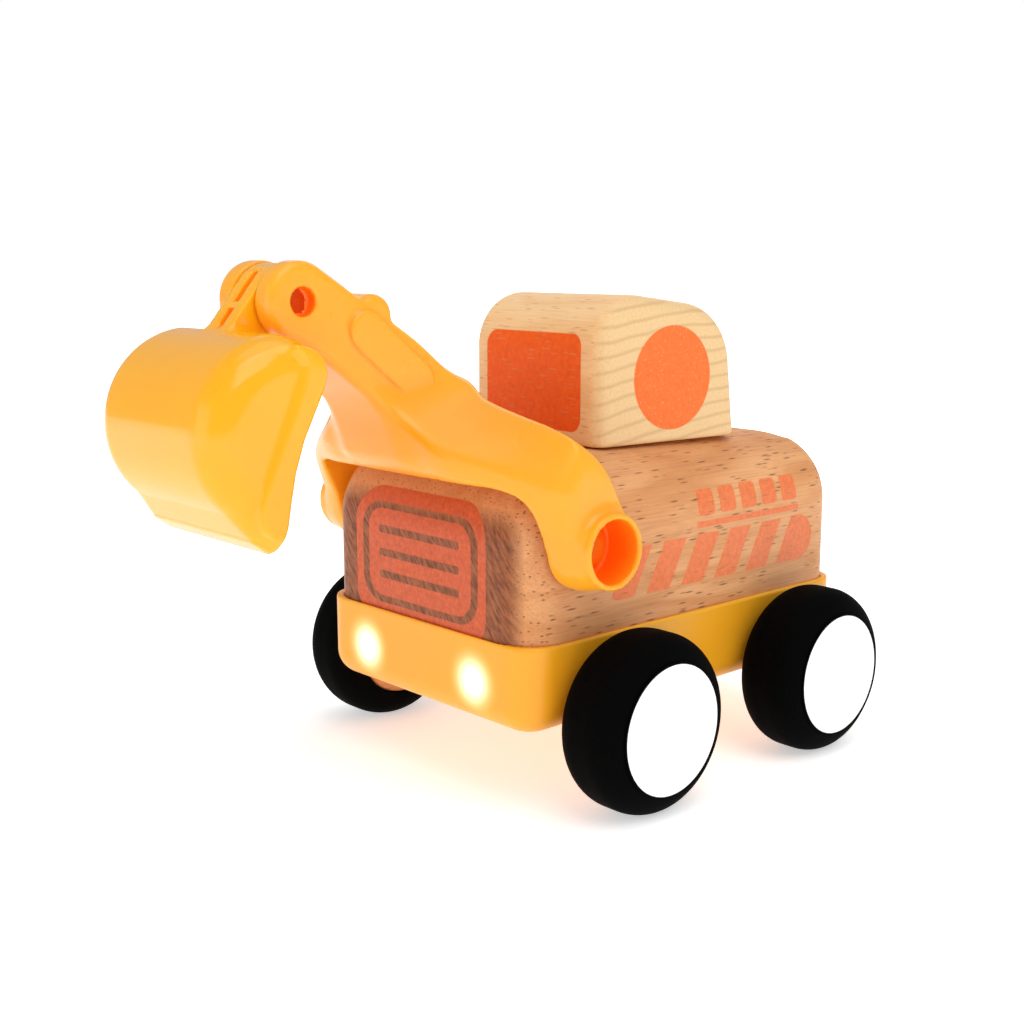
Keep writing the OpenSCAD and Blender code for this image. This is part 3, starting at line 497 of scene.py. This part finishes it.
class Look:
    """Small helper for building one node material."""

    def __init__(self, name):
        self.mat = bpy.data.materials.new(name)
        self.mat.use_nodes = True
        self.t = self.mat.node_tree
        self.t.nodes.clear()
        self.out = self.node("ShaderNodeOutputMaterial")
        self.shader = self.node("ShaderNodeBsdfPrincipled")
        self.t.links.new(self.shader.outputs[0], self.out.inputs["Surface"])
        # position in mm, X from the front axle
        obj = self.node("ShaderNodeTexCoord").outputs["Object"]
        self.p = self.vec("SUBTRACT", self.vec("MULTIPLY", obj, (1000, 1000, 1000)), (DX, 0, 0))
        xyz = self.node("ShaderNodeSeparateXYZ")
        self.t.links.new(self.p, xyz.inputs[0])
        self.x, self.y, self.z = xyz.outputs

    def node(self, kind, **props):
        n = self.t.nodes.new(kind)
        for k, v in props.items():
            setattr(n, k, v)
        return n

    def put(self, socket, value):
        if hasattr(value, "is_output"):
            self.t.links.new(value, socket)
        else:
            socket.default_value = value

    def vec(self, op, a, b):
        n = self.node("ShaderNodeVectorMath", operation=op)
        self.put(n.inputs[0], a)
        self.put(n.inputs[1], b)
        return n.outputs[0]

    def m(self, op, a, b=0.0, c=0.0):
        n = self.node("ShaderNodeMath", operation=op)
        for s, v in zip(n.inputs, (a, b, c)):
            self.put(s, v)
        return n.outputs[0]

    def combine(self, x, y, z):
        n = self.node("ShaderNodeCombineXYZ")
        for s, v in zip(n.inputs, (x, y, z)):
            self.put(s, v)
        return n.outputs[0]

    def remap(self, v, a, b, c=0.0, d=1.0):
        n = self.node("ShaderNodeMapRange")
        for s, w in zip(n.inputs, (v, a, b, c, d)):
            self.put(s, w)
        return n.outputs[0]

    def noise(self, vector, scale, detail=2.0, rough=0.5):
        n = self.node("ShaderNodeTexNoise")
        self.put(n.inputs["Vector"], vector)
        n.inputs["Scale"].default_value = scale
        n.inputs["Detail"].default_value = detail
        n.inputs["Roughness"].default_value = rough
        return n.outputs["Fac"]

    def cells(self, vector, scale):
        n = self.node("ShaderNodeTexVoronoi")
        self.put(n.inputs["Vector"], vector)
        n.inputs["Scale"].default_value = scale
        return n.outputs["Distance"]

    def mix(self, fac, a, b):
        n = self.node("ShaderNodeMix", data_type="RGBA")
        # sockets of the colour version of this node
        fac_in, a_in, b_in, colour_out = 0, 6, 7, 2
        self.put(n.inputs[fac_in], fac)
        self.put(n.inputs[a_in], a)
        self.put(n.inputs[b_in], b)
        return n.outputs[colour_out]

    def bump(self, height, strength, distance_mm):
        n = self.node("ShaderNodeBump")
        n.inputs["Strength"].default_value = strength
        n.inputs["Distance"].default_value = distance_mm / 1000
        self.put(n.inputs["Height"], height)
        return n.outputs["Normal"]

    def occlusion(self, distance_mm):
        n = self.node("ShaderNodeAmbientOcclusion", samples=8, only_local=True)
        n.inputs["Distance"].default_value = distance_mm / 1000
        return n.outputs["AO"]

    def set(self, **values):
        names = {"color": "Base Color", "rough": "Roughness", "metal": "Metallic", "normal": "Normal",
                 "coat": "Coat Weight", "coat_rough": "Coat Roughness", "sss": "Subsurface Weight",
                 "sss_radius": "Subsurface Radius", "sss_scale": "Subsurface Scale", "emit": "Emission Color",
                 "emit_power": "Emission Strength", "spec": "Specular IOR Level"}
        for k, v in values.items():
            self.put(self.shader.inputs[names[k]], v)
        return self.mat

    def length(self, a, b):
        return self.m("SQRT", self.m("ADD", self.m("MULTIPLY", a, a), self.m("MULTIPLY", b, b)))

    # two-dimensional print shapes; each returns a distance in mm, negative inside
    def rounded(self, u, v, cu, cv, hu, hv, r):
        a = self.m("SUBTRACT", self.m("ABSOLUTE", self.m("SUBTRACT", u, cu)), hu - r)
        b = self.m("SUBTRACT", self.m("ABSOLUTE", self.m("SUBTRACT", v, cv)), hv - r)
        a0, b0 = self.m("MAXIMUM", a, 0.0), self.m("MAXIMUM", b, 0.0)
        out = self.length(a0, b0)
        inner = self.m("MINIMUM", self.m("MAXIMUM", a, b), 0.0)
        return self.m("SUBTRACT", self.m("ADD", out, inner), r)

    def disc(self, u, v, cu, cv, r):
        a, b = self.m("SUBTRACT", u, cu), self.m("SUBTRACT", v, cv)
        return self.m("SUBTRACT", self.length(a, b), r)

    def inside(self, d, soft=0.12):
        return self.remap(d, soft, -soft)

    def both(self, a, b):
        return self.m("MULTIPLY", a, b)

    def either(self, a, b):
        return self.m("MAXIMUM", a, b)

    def without(self, a, b):
        return self.m("MULTIPLY", a, self.m("SUBTRACT", 1.0, b))


def wood_grain(look, along, across, up, light, mid, dark, fleck, fleck_amount, ring_scale):
    """Colour and height of planed wood: rings, fine fibre, and short dark flecks along the grain."""
    wave = look.noise(look.combine(look.m("MULTIPLY", along, 0.012), look.m("MULTIPLY", across, 0.05),
                                   look.m("MULTIPLY", up, 0.05)), 1.0, 2.0)
    bend = look.m("MULTIPLY", wave, 9.0)
    rings = look.noise(look.combine(look.m("MULTIPLY", along, 0.01),
                                    look.m("ADD", look.m("MULTIPLY", across, ring_scale * 0.35), bend),
                                    look.m("ADD", look.m("MULTIPLY", up, ring_scale), bend)), 1.0, 3.0, 0.55)
    fibre = look.noise(look.combine(look.m("MULTIPLY", along, 0.06), look.m("MULTIPLY", across, 2.6),
                                    look.m("MULTIPLY", up, 2.6)), 1.0, 3.0, 0.6)
    tone = look.mix(look.remap(rings, 0.32, 0.68), light, mid)
    tone = look.mix(look.m("MULTIPLY", look.remap(fibre, 0.45, 0.75), 0.45), tone, dark)
    spot = look.cells(look.combine(look.m("MULTIPLY", along, 0.16), look.m("MULTIPLY", across, 1.15),
                                   look.m("MULTIPLY", up, 1.15)), 1.0)
    gate = look.noise(look.combine(look.m("MULTIPLY", along, 0.5), across, up), 0.35, 2.0)
    spots = look.both(look.remap(spot, 0.30, 0.12), look.remap(gate, 0.36, 0.52))
    tone = look.mix(look.m("MULTIPLY", spots, fleck_amount), tone, fleck)
    height = look.m("SUBTRACT", look.m("MULTIPLY", fibre, 0.5), spots)
    return tone, height


# places of the prints on the body, mm
GRILLE_SLOTS_Z = (56.8, 51.3, 46.1)
BAR_START, BAR_PITCH = 14.7, 11.75
VENT_X, VENT_PITCH, VENT_COUNT = -32.6, 7.8, 5


def body_look():
    k = Look("body_beech")
    tone, height = wood_grain(k, k.x, k.y, k.z, srgb(234, 172, 118), srgb(214, 146, 90), srgb(176, 110, 62),
                              srgb(104, 62, 36), 0.75, 0.10)
    # end grain on the front and rear faces
    end_front = k.remap(k.x, BODY_FRONT - 2.2, BODY_FRONT - 0.4)
    end_rear = k.remap(k.x, BODY_REAR + 2.2, BODY_REAR + 0.4)
    end = k.either(end_front, end_rear)
    across = k.m("MULTIPLY", k.m("ADD", k.y, k.m("MULTIPLY", k.z, 0.8)), 0.9)
    along = k.m("MULTIPLY", k.m("SUBTRACT", k.z, k.m("MULTIPLY", k.y, 0.8)), 0.22)
    ray = k.noise(k.combine(0.0, across, along), 1.0, 3.0, 0.6)
    end_tone = k.mix(k.remap(ray, 0.35, 0.65), srgb(168, 98, 56), srgb(106, 54, 24))
    pores = k.cells(k.combine(0.0, k.m("MULTIPLY", k.y, 1.7), k.m("MULTIPLY", k.z, 1.7)), 1.0)
    end_tone = k.mix(k.m("MULTIPLY", k.remap(pores, 0.22, 0.1), 0.45), end_tone, srgb(120, 74, 50))
    tone = k.mix(end, tone, end_tone)

    # printed grille on the front
    yy = k.m("ADD", k.y, 0.7)
    plate = k.inside(k.rounded(yy, k.z, 0.0, 50.0, 23.2, 16.6, 9.0))
    ring_out = k.inside(k.rounded(yy, k.z, 0.0, 51.25, 20.6, 11.9, 6.5))
    ring_in = k.inside(k.rounded(yy, k.z, 0.0, 51.3, 18.3, 10.3, 4.8))
    grille = k.without(plate, k.without(ring_out, ring_in))
    for cz in GRILLE_SLOTS_Z:
        grille = k.without(grille, k.inside(k.rounded(yy, k.z, 0.0, cz, 14.3, 0.9, 0.6)))
    grille = k.both(grille, k.m("GREATER_THAN", k.x, BODY_FRONT - 3))
    # slanted bars in a capsule, an underline and a row of vents on the two sides
    side = k.m("GREATER_THAN", k.m("ABSOLUTE", k.y), BODY_HW - 5)
    capsule = k.inside(k.rounded(k.x, k.z, -35.6, 49.9, 37.7, 5.6, 5.6))
    slant = k.m("ADD", k.x, k.m("MULTIPLY", k.m("SUBTRACT", k.z, 50.0), 0.52))
    # twelve pitches are added so that the value stays positive
    phase = k.m("FRACT", k.m("DIVIDE", k.m("ADD", slant, BAR_START + BAR_PITCH * 12), BAR_PITCH))
    bars = k.m("MULTIPLY", k.remap(phase, 0.325, 0.345), k.remap(phase, 0.998, 0.982))
    bars = k.either(bars, k.m("LESS_THAN", slant, -61.7 - 4))
    stripes = k.both(capsule, bars)
    vents = k.inside(k.rounded(k.x, k.z, -48.2, 57.7, 19.2, 0.75, 0.5))
    for i in range(VENT_COUNT):
        vents = k.either(vents, k.inside(k.rounded(k.x, k.z, VENT_X - VENT_PITCH * i, 62.7, 2.9, 3.0, 1.0)))
    marks = k.both(k.either(stripes, vents), side)
    ink_noise = k.noise(k.p, 0.9, 3.0, 0.6)
    ink_front = k.mix(k.remap(ink_noise, 0.3, 0.7), srgb(222, 100, 48), srgb(194, 82, 40))
    ink_side = k.mix(k.remap(ink_noise, 0.3, 0.7), srgb(242, 128, 74), srgb(226, 112, 60))
    worn = k.remap(height, -0.6, 0.25, 0.55, 0.94)
    tone = k.mix(k.m("MULTIPLY", grille, worn), tone, ink_front)
    tone = k.mix(k.m("MULTIPLY", marks, worn), tone, ink_side)
    ink = k.either(grille, marks)
    rough = k.remap(k.noise(k.p, 0.35, 2.0), 0.3, 0.7, 0.46, 0.6)
    return k.set(color=tone, rough=k.m("SUBTRACT", rough, k.m("MULTIPLY", ink, 0.08)), spec=0.35,
                 normal=k.bump(height, 0.35, 0.12))


RING_PITCH = 3.1


def cab_look():
    k = Look("cab_pale_wood")
    ux = k.m("SUBTRACT", k.x, CAB_X)
    u = k.m("ADD", k.m("MULTIPLY", ux, CC), k.m("MULTIPLY", k.y, CS))
    v = k.m("SUBTRACT", k.m("MULTIPLY", k.y, CC), k.m("MULTIPLY", ux, CS))
    # growth rings about a far centre show as curved lines on the two sides
    rx, rz = k.m("SUBTRACT", u, -38.0), k.m("SUBTRACT", k.z, 40.0)
    slow = k.combine(k.m("MULTIPLY", u, 0.05), k.m("MULTIPLY", v, 0.02), k.m("MULTIPLY", k.z, 0.05))
    wobble = k.m("MULTIPLY", k.noise(slow, 1.0, 2.0), 2.5)
    flat = k.m("ADD", k.m("MULTIPLY", k.m("MULTIPLY", rx, rx), 0.16), k.m("MULTIPLY", rz, rz))
    dist = k.m("ADD", k.m("SQRT", flat), wobble)
    line = k.m("ABSOLUTE", k.m("SUBTRACT", k.m("FRACT", k.m("DIVIDE", dist, RING_PITCH)), 0.5))
    rings = k.remap(line, 0.30, 0.5)
    end = k.remap(k.m("ABSOLUTE", v), CAB_HW - 3.0, CAB_HW - 1.0)
    long_tone, height = wood_grain(k, v, u, k.z, srgb(252, 212, 158), srgb(244, 194, 134), srgb(220, 164, 106),
                                   srgb(168, 120, 80), 0.45, 0.16)
    speck = k.noise(k.combine(u, 0.0, k.z), 1.6, 3.0, 0.65)
    end_tone = k.mix(k.remap(speck, 0.35, 0.7), srgb(238, 203, 150), srgb(229, 190, 135))
    end_tone = k.mix(k.m("MULTIPLY", rings, 0.55), end_tone, srgb(200, 158, 108))
    tone = k.mix(end, long_tone, end_tone)
    on_front = k.m("GREATER_THAN", u, CAB_HL - 4)
    window = k.both(k.inside(k.rounded(v, k.z, 0.0, 90.0, 18.0, 11.3, 3.5)), on_front)
    on_side = k.m("GREATER_THAN", k.m("ABSOLUTE", v), CAB_HW - 2)
    door = k.both(k.inside(k.disc(u, k.z, -0.2, 90.8, 12.2)), on_side)
    ink_noise = k.noise(k.p, 0.8, 3.0, 0.6)
    ink_w = k.mix(k.remap(ink_noise, 0.3, 0.7), srgb(252, 100, 2), srgb(238, 86, 0))
    ink_d = k.mix(k.remap(ink_noise, 0.3, 0.7), srgb(248, 120, 56), srgb(240, 110, 46))
    worn = k.remap(height, -0.6, 0.2, 0.7, 0.96)
    tone = k.mix(k.both(window, worn), tone, ink_w)
    tone = k.mix(k.both(door, worn), tone, ink_d)
    rough = k.remap(k.noise(k.p, 0.4, 2.0), 0.3, 0.7, 0.42, 0.55)
    return k.set(color=tone, rough=rough, spec=k.m("SUBTRACT", 0.3, k.m("MULTIPLY", k.either(window, door), 0.2)),
                 normal=k.bump(k.m("SUBTRACT", height, k.m("MULTIPLY", rings, 0.15)), 0.3, 0.1))


def plastic_look(name, base, shade_tone, rough=0.3, lamp_halo=False, spec=0.42):
    """Moulded plastic, a little translucent. Its recesses get painted shade, a darker orange with a faint painted
    light of that colour; optionally a painted halo of headlight light around the lenses.
    """
    k = Look(name)
    cloud = k.noise(k.p, 0.03, 2.0)
    tone = k.mix(k.remap(cloud, 0.3, 0.7), base, (base[0] * 0.97, base[1] * 0.955, base[2] * 0.9, 1))
    # painted shade: recesses that the part's own occlusion finds turn a darker orange, and in k.set below they
    # also shine faintly in that colour as painted light
    hollow_shade = k.remap(k.occlusion(14), 0.85, 0.25)
    tone = k.mix(k.m("POWER", hollow_shade, 1.3), tone, shade_tone)
    fine = k.noise(k.p, 1.6, 2.0)
    r = k.remap(k.noise(k.p, 0.12, 2.0), 0.3, 0.7, rough - 0.03, rough + 0.05)
    k.set(color=tone, rough=r, spec=spec, coat=0.1, coat_rough=0.15, sss=0.2, sss_radius=(1.0, 0.42, 0.08),
          sss_scale=0.006, normal=k.bump(fine, 0.05, 0.05), emit=shade_tone, emit_power=k.m("MULTIPLY", hollow_shade, 0.2))
    if lamp_halo:
        # painted light: a halo of headlight light shining from the tray plastic around each lens, used for the
        # tray only
        yy = k.m("SUBTRACT", k.m("ABSOLUTE", k.y), LENS_Y)
        zz = k.m("SUBTRACT", k.z, LENS_Z)
        d = k.length(yy, zz)
        near = k.m("POWER", k.remap(d, 9.0, 3.6), 1.5)
        near = k.both(near, k.m("GREATER_THAN", k.x, TRAY_FRONT - 4))
        k.set(emit=k.mix(near, shade_tone, srgb(255, 242, 214)),
              emit_power=k.m("ADD", k.m("MULTIPLY", near, 1.1), k.m("MULTIPLY", hollow_shade, 0.2)))
    return k.mat


def rubber_look():
    k = Look("tyre_rubber")
    fine = k.noise(k.p, 2.4, 3.0, 0.6)
    tone = k.mix(k.remap(fine, 0.35, 0.7), srgb(2, 2, 2), srgb(6, 6, 6))
    return k.set(color=tone, rough=k.remap(fine, 0.3, 0.7, 0.7, 0.82), spec=0.03, normal=k.bump(fine, 0.12, 0.05))


def white_look():
    k = Look("white_disc")
    fine = k.noise(k.p, 0.8, 3.0, 0.6)
    tone = k.mix(k.remap(fine, 0.35, 0.7), srgb(252, 252, 252), srgb(246, 246, 245))
    # a faint white emission is painted light that keeps the discs bright in shade
    return k.set(color=tone, rough=k.remap(fine, 0.3, 0.7, 0.34, 0.44), normal=k.bump(fine, 0.04, 0.04),
                 emit=(1, 1, 1, 1), emit_power=0.12)


def darker(colour, factor):
    return tuple(c * factor for c in colour[:3]) + (1,)


def metal_look(name, colour):
    """Metal with fine lines along Y, the way the rods and axles run."""
    k = Look(name)
    rough = 0.3
    drawn = k.combine(k.m("MULTIPLY", k.x, 3.0), k.m("MULTIPLY", k.y, 0.15), k.m("MULTIPLY", k.z, 3.0))
    lines = k.noise(drawn, 1.0, 3.0)
    tone = k.mix(k.remap(lines, 0.3, 0.7), colour, darker(colour, 0.8))
    return k.set(color=tone, metal=1.0, rough=k.remap(lines, 0.3, 0.7, rough - 0.08, rough + 0.1),
                 normal=k.bump(lines, 0.08, 0.05))


def dark_look(name, colour, rough):
    k = Look(name)
    fine = k.noise(k.p, 1.8, 3.0)
    tone = k.mix(k.remap(fine, 0.3, 0.7), colour, darker(colour, 0.75))
    return k.set(color=tone, rough=k.remap(fine, 0.3, 0.7, rough, rough + 0.12), normal=k.bump(fine, 0.1, 0.05))


def lamp_look(name, power):
    k = Look(name)
    yy = k.m("SUBTRACT", k.m("ABSOLUTE", k.y), LENS_Y)
    zz = k.m("SUBTRACT", k.z, LENS_Z)
    d = k.length(yy, zz)
    flute = k.noise(k.combine(k.m("MULTIPLY", k.y, 2.5), k.m("MULTIPLY", k.z, 2.5), 0.0), 1.0, 2.0)
    hot = k.remap(d, 3.5, 1.4)
    tone = k.mix(hot, srgb(255, 214, 150), srgb(255, 250, 235))
    strength = k.m("MULTIPLY", k.remap(hot, 0.0, 1.0, 0.55, 1.0), power)
    return k.set(color=tone, rough=0.18, coat=0.5, emit=tone, emit_power=strength,
                 normal=k.bump(flute, 0.1, 0.05))


YELLOW = srgb(255, 174, 32)
# painted shade: the darker orange put into the recesses of the yellow plastic
SHADE_ORANGE = srgb(255, 106, 6)
looks = {
    "wood_body": body_look(),
    "wood_cab": cab_look(),
    "yellow_plastic": plastic_look("yellow_plastic", YELLOW, SHADE_ORANGE),
    "tray": plastic_look("yellow_plastic_tray", YELLOW, SHADE_ORANGE, 0.36, True),
    # painted shade: the boss caps and the bucket pin sit in shaded recesses, so their whole colour is a darker
    # orange
    "shaded_sunk_plastic": plastic_look("yellow_plastic_sunk", srgb(240, 112, 2), srgb(232, 98, 2), 0.5, spec=0.1),
    # second colour: the painted shade for the bucket's recesses
    "bucket": plastic_look("yellow_plastic_bucket", srgb(255, 178, 14), srgb(252, 132, 0), 0.16),
    "steel": metal_look("steel_bright", (0.62, 0.63, 0.65, 1)),
    "tyre_rubber": rubber_look(),
    "white_disc": white_look(),
    "lamp_lens": lamp_look("lamp_lens", 2.2),
    "led_warm": lamp_look("led_warm", 4.0),
    "board_green": dark_look("board_green", srgb(24, 96, 52), 0.45),
    "switch_black": dark_look("switch_black", srgb(34, 34, 36), 0.5),
    "contact_brass": metal_look("contact_brass", (0.72, 0.56, 0.26, 1)),
    "wire_red": dark_look("wire_red", srgb(190, 30, 24), 0.4),
    "wire_black": dark_look("wire_black", srgb(26, 26, 26), 0.4),
}

for sub in frame["record"]["subparts"]:
    ob = nodes[sub["node"]]
    # the boss caps and the bucket pin take the painted-shade orange
    key = "shaded_sunk_plastic" if sub["node"] in ("boom_caps", "bucket_pin") else sub["material_slot"]
    ob.data.materials.clear()
    ob.data.materials.append(looks[key])


def place(ob, body, slot, look, *stands_for):
    ob.data.materials.clear()
    ob.data.materials.append(looks[look])
    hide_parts(*stands_for)
    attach(ob, body)


place(boom, "boom_arm", "yellow_plastic", "yellow_plastic", "boom")
place(bucket, "bucket_body", "yellow_plastic", "bucket", "bucket")
place(wood_body, "base", "wood_body", "wood_body", "body_block")
place(tray, "base", "yellow_plastic", "tray", "chassis_tray")
place(wood_cab, "cab_turret", "wood_cab", "wood_cab", "cab_block")
for key, (ax, side, body) in WHEELS.items():
    for ob, node, slot in zip(wheel_parts[key], ("tyre_", "hub_", "disc_"),
                              ("tyre_rubber", "wood_body", "white_disc")):
        place(ob, body, slot, slot, node + key)


# ---------------------------------------------------------------- floor, light and camera
def floor():
    me = bpy.data.meshes.new("floor")
    r, n = 6.0, 64      # radius in metres, corners of the round floor
    turns = [2 * math.pi * i / n for i in range(n)]
    verts = [(0, 0, 0)] + [(r * math.cos(a), r * math.sin(a), 0) for a in turns]
    me.from_pydata(verts, [], [(0, i + 1, (i + 1) % n + 1) for i in range(n)])
    ob = bpy.data.objects.new("floor", me)
    bpy.context.collection.objects.link(ob)
    k = Look("pale_floor")
    cloud = k.noise(k.p, 0.004, 2.0)
    away = k.length(k.x, k.y)
    tone = k.mix(k.remap(cloud, 0.3, 0.7), (0.93, 0.93, 0.93, 1), (0.95, 0.95, 0.95, 1))
    # brighter away from the toy, so that the floor runs into the white background
    ob.data.materials.append(k.set(color=tone, rough=0.9, spec=0.05, emit=(1, 1, 1, 1),
                                   emit_power=k.remap(away, 150, 600, 0.5, 1.0)))


floor()


def area_light(name, loc, target, size, power):
    data = bpy.data.lights.new(name, "AREA")
    data.shape = "RECTANGLE"
    data.size, data.size_y = size
    data.energy = power
    ob = bpy.data.objects.new(name, data)
    bpy.context.collection.objects.link(ob)
    ob.location = loc
    ob.rotation_euler = (Vector(target) - Vector(loc)).to_track_quat('-Z', 'Y').to_euler()


area_light("key", (0.10, 0.55, 0.85), (0, 0, 0.05), (0.7, 0.7), 3.4)
area_light("front_fill", (0.95, -0.15, 0.25), (0, 0, 0.06), (0.8, 0.5), 1.3)
area_light("top", (-0.05, 0.05, 1.0), (-0.03, 0, 0.05), (0.6, 0.6), 1.1)
area_light("back_fill", (-0.7, -0.6, 0.6), (0, 0, 0.06), (0.8, 0.6), 1.2)

WORLD_LIGHT, WORLD_SEEN = 0.5, 1.0      # white world as a light, and as the camera sees it
world = bpy.data.worlds.new("studio")
bpy.context.scene.world = world
world.use_nodes = True
wt = world.node_tree
wt.nodes["Background"].inputs["Color"].default_value = (1, 1, 1, 1)
wt.nodes["Background"].inputs["Strength"].default_value = WORLD_LIGHT
seen = wt.nodes.new("ShaderNodeBackground")
seen.inputs["Color"].default_value = (1, 1, 1, 1)
seen.inputs["Strength"].default_value = WORLD_SEEN
path = wt.nodes.new("ShaderNodeLightPath")
pick = wt.nodes.new("ShaderNodeMixShader")
wt.links.new(path.outputs["Is Camera Ray"], pick.inputs[0])
wt.links.new(wt.nodes["Background"].outputs[0], pick.inputs[1])
wt.links.new(seen.outputs[0], pick.inputs[2])
wt.links.new(pick.outputs[0], wt.nodes["World Output"].inputs["Surface"])

FOCAL_PX, IMAGE_PX, SENSOR_MM = 1383.48, 1024, 36
CAM_YAW, CAM_PITCH = math.radians(227.8), math.radians(10.27)
cam_data = bpy.data.cameras.new("camera")
cam_data.sensor_width = SENSOR_MM
cam_data.lens = FOCAL_PX / IMAGE_PX * SENSOR_MM
cam = bpy.data.objects.new("camera", cam_data)
bpy.context.collection.objects.link(cam)
cam.location = (0.21301 - 0.0023, 0.23907, 0.11759)
aim = Vector((math.cos(CAM_PITCH) * math.cos(CAM_YAW), math.cos(CAM_PITCH) * math.sin(CAM_YAW),
              -math.sin(CAM_PITCH)))
cam.rotation_euler = aim.to_track_quat('-Z', 'Y').to_euler()
bpy.context.scene.camera = cam
bpy.context.scene.view_settings.view_transform = 'Standard'
